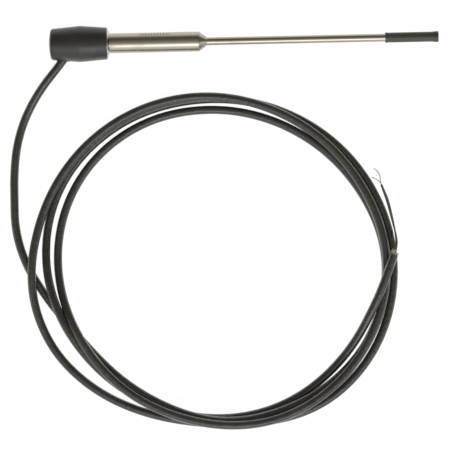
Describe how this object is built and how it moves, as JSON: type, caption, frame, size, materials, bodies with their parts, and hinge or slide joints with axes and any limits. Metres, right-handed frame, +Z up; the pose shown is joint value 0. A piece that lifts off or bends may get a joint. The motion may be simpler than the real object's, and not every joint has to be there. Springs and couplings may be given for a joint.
{
  "type": "soil moisture sensor",
  "caption": "Needle-type soil moisture probe: steel handle and needle, moulded rubber head, pull-off tip cap and a coiled signal cable with bare wire ends.",
  "frame": {"origin": "on the probe's axis, at the front end of the handle's straight barrel, where the nose cone begins", "axes": "+X along the probe towards the sensing tip, +Z up from the table that the head and cable lie on"},
  "size_m": [0.2164, 0.2031, 0.018],
  "materials": {
    "boot_rubber": "matte moulded rubber",
    "cap_rubber": "satin black rubber",
    "seal_rubber": "matte",
    "handle_steel": "turned and polished stainless steel",
    "collar_steel": "turned stainless steel",
    "needle_steel": "drawn and polished stainless steel",
    "plated_brass": "gold plated",
    "tip_plastic": "natural engineering plastic",
    "white_sleeve": "natural fluoropolymer",
    "potting_resin": "cast epoxy",
    "carrier_plastic": "moulded nylon",
    "board_laminate": "solder-masked laminate",
    "chip_plastic": "moulded epoxy",
    "can_metal": "plated can",
    "capacitor_ceramic": "fired ceramic",
    "wire_brown": "extruded insulation",
    "wire_green": "extruded insulation",
    "wire_end_dark": "extruded insulation",
    "bare_strand": "tinned copper",
    "screen_braid": "tinned screen strands",
    "cable_jacket": "semi-gloss extruded jacket"
  },
  "bodies": {
    "probe": {"head_boot": "boot_rubber", "cable_ferrule": "plated_brass", "boot_potting": "potting_resin", "handle_tube": "handle_steel", "anchor_ring": "handle_steel", "collar_ring": "collar_steel", "tube_plug": "carrier_plastic", "nose_cone": "handle_steel", "front_oring": "seal_rubber", "needle_tube": "needle_steel", "tip_insulator": "tip_plastic", "tip_electrode": "needle_steel", "sense_rod": "plated_brass", "rod_sleeve": "white_sleeve", "rod_spacers": "white_sleeve", "circuit_board": "board_laminate", "board_carrier_rear": "carrier_plastic", "board_carrier_front": "carrier_plastic", "sensor_chip": "chip_plastic", "oscillator_can": "can_metal", "power_chips": "chip_plastic", "capacitors": "capacitor_ceramic", "resistors": "chip_plastic", "supply_wire": "wire_brown", "drain_wire": "bare_strand", "signal_wire": "wire_green", "cable_lead": "cable_jacket", "cable_coil": "cable_jacket", "screen_tuft": "screen_braid", "end_supply_wire": "wire_end_dark", "end_signal_wire": "wire_end_dark", "end_supply_strands": "bare_strand", "end_signal_strands": "bare_strand"},
    "cap": {"protective_cap": "cap_rubber"}
  },
  "joints": [
    {"name": "cap_pull", "type": "slide", "parent": "probe", "child": "cap", "axis": [1, 0, 0], "range_m": [0, 0.03]}
  ]
}
